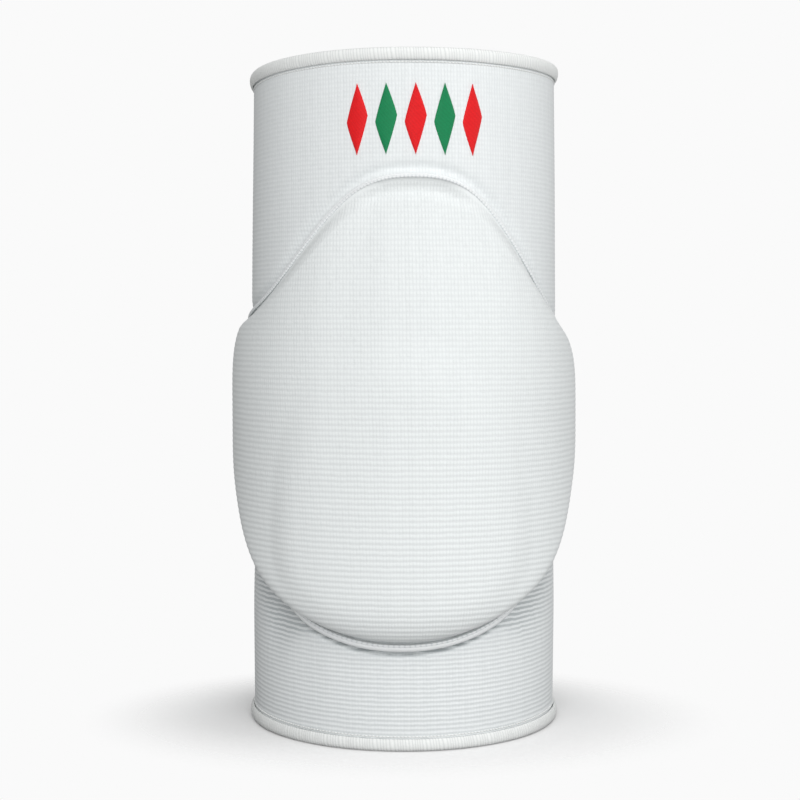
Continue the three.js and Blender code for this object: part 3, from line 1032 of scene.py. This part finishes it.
class EmblemSettings(PropertyGroup):
    """A row of satin-stitched lozenges on the upper sleeve."""

    count: count_prop("Count", "How many lozenges", 5, 1)
    spacing: length_prop("Spacing", "Distance between lozenges", 10.5)
    half_width: length_prop("Half width", "Half the width of a lozenge", 4.0)
    half_height: length_prop("Half height", "Half the height of a lozenge", 12.5)
    tip_power: share_prop("Tip power", "How full the sides of a lozenge are", 1.15)
    middle_angle: share_prop("Middle angle", "Angle of the row's middle from the front, in degrees", 4.0)
    middle_z: length_prop("Middle height", "Height of the row's middle", HEIGHT / MM - 24.8)
    lift: length_prop("Lift", "How far the stitching stands out", 0.75)
    sink: length_prop("Sink", "How far it sits in the knit", 0.15)
    thread_pitch: length_prop("Thread pitch", "Width of one thread", 0.45)
    thread_depth: length_prop("Thread depth", "Depth of the grooves between threads", 0.16)
    thread_slant: share_prop("Thread slant", "Slant of the threads across a lozenge", 0.3)
    columns: count_prop("Columns", "Steps across a lozenge", 12, 4)
    # Brightness of the painted shade in the thread grooves, as a share of each colour.
    groove_shade: share_prop("Groove shade", "Brightness of the grooves next to the threads", 0.45)
    first_color: color_prop("First colour", "Colour of every other lozenge", 0.9, 0.006, 0.01)
    second_color: color_prop("Second colour", "Colour of the others", 0.004, 0.27, 0.095)


class StageSettings(PropertyGroup):
    """Floor, light and camera."""

    backdrop: share_prop("Backdrop", "Brightness of the backdrop behind the object", 0.956)
    ambient: share_prop("Ambient", "Brightness of the light from all around", 0.34)
    floor_radius: length_prop("Floor radius", "Radius at which the floor has faded out", 130)
    floor_fade: share_prop("Floor fade", "Shares of that radius between which it fades", 0.4, 0.98)
    floor_squash: share_prop("Floor squash", "How much sooner the floor fades out towards the camera", 1.4)
    floor_color: color_prop("Floor colour", "Colour of the floor", 0.97, 0.97, 0.97)
    bounce: share_prop("Floor bounce", "Share of the floor's colour that lights the object", 0.25)
    front_power: power_prop("Front light", "Power of the front light", 7.3)
    high_power: power_prop("High light", "Power of the raised light", 7.1)
    side_power: power_prop("Side light", "Power of the side light", 4.8)
    lens: FloatProperty(name="Lens", description="Focal length", default=69.9, unit="CAMERA")
    camera_distance: length_prop("Camera distance", "Distance of the camera from the sleeve's axis", 602.5)
    camera_side: length_prop("Camera side", "Sideways place of the camera", -1.47)
    camera_height: length_prop("Camera height", "Height of the camera", 149.8)
    camera_pitch: FloatProperty(
        name="Camera pitch",
        description="How far the camera looks down",
        default=math.radians(2.63),
        subtype="ANGLE",
    )


class KneePadSettings(PropertyGroup):
    """All that a user may change."""

    sleeve: PointerProperty(type=SleeveSettings, name="Sleeve", description="The tube of knit")
    pad: PointerProperty(type=PadSettings, name="Pad", description="The padded front")
    seam: PointerProperty(type=SeamSettings, name="Seam", description="The seam around the pad")
    hem: PointerProperty(type=HemSettings, name="Hems", description="The edges at both ends")
    emblem: PointerProperty(type=EmblemSettings, name="Emblem", description="The stitched lozenges")
    stage: PointerProperty(type=StageSettings, name="Stage", description="Floor, light and camera")


class KNEEPAD_OT_sleeve(Operator):
    """Adds the tube of fine rib knit."""

    bl_idname = "kneepad.sleeve"
    bl_label = "Knit sleeve"

    def execute(self, context):
        settings = context.scene.knee_pad.sleeve
        numbers = {"Bead Height": settings.bead_height, "Bead Start": 0.3, "Painted Gap Shade": 0.3, "Wander": 0.5}
        colors = (settings.color, settings.painted_shade_color)
        finish = {"streak": 0.12, "roughness": 0.95, "sheen": 0.1}
        knit = cloth_material("Sleeve knit", "Ribbed knit", numbers, colors, **finish)
        piece = add_mesh("knit_sleeve", sleeve_patches(settings), [knit])
        place(piece, "sleeve")
        return {"FINISHED"}


class KNEEPAD_OT_pad(Operator):
    """Adds the padded front of coarser rib knit."""

    bl_idname = "kneepad.pad"
    bl_label = "Foam pad"

    def execute(self, context):
        settings = context.scene.knee_pad.pad
        numbers = {"Bead Height": settings.bead_height, "Bead Start": 0.25, "Painted Gap Shade": 0.45, "Wander": 0.5}
        colors = (settings.color, settings.painted_shade_color)
        finish = {"streak": 0.1, "roughness": 0.95, "sheen": 0.1}
        knit = cloth_material("Pad knit", "Ribbed knit", numbers, colors, **finish)
        piece = add_mesh("padded_front", pad_patches(settings), [knit])
        place(piece, "knee_pad")
        return {"FINISHED"}


class KNEEPAD_OT_seam(Operator):
    """Adds the raised stitched seam around the pad."""

    bl_idname = "kneepad.seam"
    bl_label = "Stitched seam"

    def execute(self, context):
        settings = context.scene.knee_pad.seam
        numbers = {"Fibre Height": 0.06 * MM, "Twist": 4.0}
        colors = (settings.color, settings.painted_shade_color)
        finish = {"streak": 0.1, "roughness": 0.85, "sheen": 0.1}
        thread = cloth_material("Seam thread", "Twisted thread", numbers, colors, **finish)
        patches = seam_patches(settings, context.scene.knee_pad.sleeve)
        piece = add_mesh("stitched_seam", patches, [thread])
        place(piece, "pad_seam")
        return {"FINISHED"}


class KNEEPAD_OT_hems(Operator):
    """Adds the overlocked yarn edge at each end."""

    bl_idname = "kneepad.hems"
    bl_label = "Yarn hems"

    def execute(self, context):
        settings = context.scene.knee_pad.hem
        numbers = {"Fibre Height": 0.08 * MM, "Twist": 2.0}
        colors = (settings.color, settings.painted_shade_color)
        finish = {"streak": 0.15, "roughness": 0.9, "sheen": 0.15}
        yarn = cloth_material("Hem yarn", "Twisted thread", numbers, colors, **finish)
        for node, at_top in (("top_hem", True), ("bottom_hem", False)):
            patches = [hem_wrap(settings, at_top), hem_row(settings, at_top)]
            piece = add_mesh(f"yarn_{node}", patches, [yarn])
            place(piece, node)
        return {"FINISHED"}


class KNEEPAD_OT_emblem(Operator):
    """Adds the row of satin-stitched lozenges."""

    bl_idname = "kneepad.emblem"
    bl_label = "Stitched lozenges"

    def execute(self, context):
        settings = context.scene.knee_pad.emblem
        numbers = {"Fibre Height": 0.04 * MM, "Twist": 1.0}
        finish = {"streak": 0.15, "roughness": 0.55, "sheen": 0.1}
        threads = []
        for name, color in (("Red thread", settings.first_color), ("Green thread", settings.second_color)):
            # Each thread's colour and a darker copy of it for the painted shade in its grooves.
            colors = (color, [channel * settings.groove_shade for channel in color])
            threads.append(cloth_material(name, "Twisted thread", numbers, colors, **finish))
        patches = [patch for index in range(settings.count) for patch in lozenge_patches(settings, index)]
        chosen = [index % 2 for index in range(settings.count) for _ in range(2)]
        piece = add_mesh("stitched_lozenges", patches, threads, chosen)
        place(piece)
        return {"FINISHED"}


def add_softbox(name, power, azimuth, elevation, distance=1.3, size=0.9):
    """A square area light that faces the object, from degrees around towards +X and up, in metres."""
    lamp = bpy.data.lights.new(name, "AREA")
    lamp.size = size
    lamp.energy = power
    made = bpy.data.objects.new(name, lamp)
    turn, climb = math.radians(azimuth), math.radians(elevation)
    level = distance * math.cos(climb)
    height = HEIGHT / 2 + distance * math.sin(climb)
    made.location = (level * math.sin(turn), AXIS_Y - level * math.cos(turn), height)
    made.rotation_euler = (math.pi / 2 - climb, 0, turn)
    bpy.context.scene.collection.objects.link(made)


class KNEEPAD_OT_stage(Operator):
    """Adds the floor, the soft light and the camera."""

    bl_idname = "kneepad.stage"
    bl_label = "Stage"

    def execute(self, context):
        settings = context.scene.knee_pad.stage
        self.add_floor(settings)
        self.add_backdrop(context.scene, settings)
        add_softbox("Front light", settings.front_power, azimuth=0, elevation=5)
        add_softbox("High light", settings.high_power, azimuth=0, elevation=40)
        add_softbox("Side light", settings.side_power, azimuth=75, elevation=15)
        self.add_camera(context.scene, settings)
        context.scene.view_settings.view_transform = "Standard"
        return {"FINISHED"}

    def add_floor(self, settings):
        """A pale disc, rings of points around its middle, that fades out towards its rim."""
        radius = np.linspace(0, 1, FLOOR_RINGS + 1)[::-1, None] * settings.floor_radius
        angle = np.linspace(-180, 180, FLOOR_SPOKES + 1)[None, :-1]
        grid = closed_ring(around(angle, radius, 0 * radius))
        pale = bpy.data.materials.new("Pale floor")
        tree = emptied_tree(pale)
        place_on = add_node(tree, "TexCoord", output="Object")
        drawn = calc(tree, "MULTIPLY", place_on, (1.0, settings.floor_squash, 1.0), kind="VectorMath")
        far = add_node(tree, "VectorMath", {0: drawn}, "Value", operation="LENGTH")
        fade = ramp(tree, far, *(settings.floor_radius * share for share in settings.floor_fade))
        seen = add_node(tree, "LightPath", output="Is Camera Ray")
        dim = [channel * settings.bounce for channel in settings.floor_color]
        matt = add_node(tree, "BsdfDiffuse", {"Color": tint(tree, seen, dim, settings.floor_color)})
        blend = add_node(tree, "MixShader", {0: fade, 1: matt, 2: add_node(tree, "BsdfTransparent")})
        add_node(tree, "OutputMaterial", {"Surface": blend})
        floor = add_mesh("floor", [(grid, stitch_map(grid[..., 0], grid[..., 1], 0, 0))], [pale])

    def add_backdrop(self, scene, settings):
        """A bright backdrop for the camera and a softer light from all around for the object."""
        scene.world = bpy.data.worlds.new("Studio")
        tree = emptied_tree(scene.world)
        cast, shown = (
            add_node(tree, "Background", {"Color": (1, 1, 1, 1), "Strength": strength})
            for strength in (settings.ambient, settings.backdrop)
        )
        seen = add_node(tree, "LightPath", output="Is Camera Ray")
        blend = add_node(tree, "MixShader", {0: seen, 1: cast, 2: shown})
        add_node(tree, "OutputWorld", {"Surface": blend})

    def add_camera(self, scene, settings):
        """A camera in front of the object, at the height and pitch that its rims show."""
        lens = bpy.data.cameras.new("Camera")
        lens.lens = settings.lens
        camera = bpy.data.objects.new("Camera", lens)
        camera.location = (settings.camera_side, AXIS_Y - settings.camera_distance, settings.camera_height)
        camera.rotation_euler = (math.pi / 2 - settings.camera_pitch, 0, 0)
        scene.collection.objects.link(camera)
        scene.camera = camera


PIECES = (
    KNEEPAD_OT_sleeve,
    KNEEPAD_OT_pad,
    KNEEPAD_OT_seam,
    KNEEPAD_OT_hems,
    KNEEPAD_OT_emblem,
    KNEEPAD_OT_stage,
)


class KNEEPAD_PT_pieces(Panel):
    """Lists the pieces in the sidebar."""

    bl_idname = "KNEEPAD_PT_pieces"
    bl_label = "Knee Pad"
    bl_space_type = "VIEW_3D"
    bl_region_type = "UI"
    bl_category = "Knee Pad"

    def draw(self, context):
        for operator in PIECES:
            self.layout.operator(operator.bl_idname)


CLASSES = (
    SleeveSettings,
    PadSettings,
    SeamSettings,
    HemSettings,
    EmblemSettings,
    StageSettings,
    KneePadSettings,
    *PIECES,
    KNEEPAD_PT_pieces,
)


def register():
    """Registers the classes and hangs the settings on the scene."""
    for kind in CLASSES:
        bpy.utils.register_class(kind)
    bpy.types.Scene.knee_pad = PointerProperty(type=KneePadSettings)


def unregister():
    """Takes back what register did."""
    del bpy.types.Scene.knee_pad
    for kind in reversed(CLASSES):
        bpy.utils.unregister_class(kind)


def main():
    """Builds every piece and the stage."""
    register()
    bpy.ops.kneepad.sleeve()
    bpy.ops.kneepad.pad()
    bpy.ops.kneepad.seam()
    bpy.ops.kneepad.hems()
    bpy.ops.kneepad.emblem()
    bpy.ops.kneepad.stage()


if __name__ == "__main__":
    main()
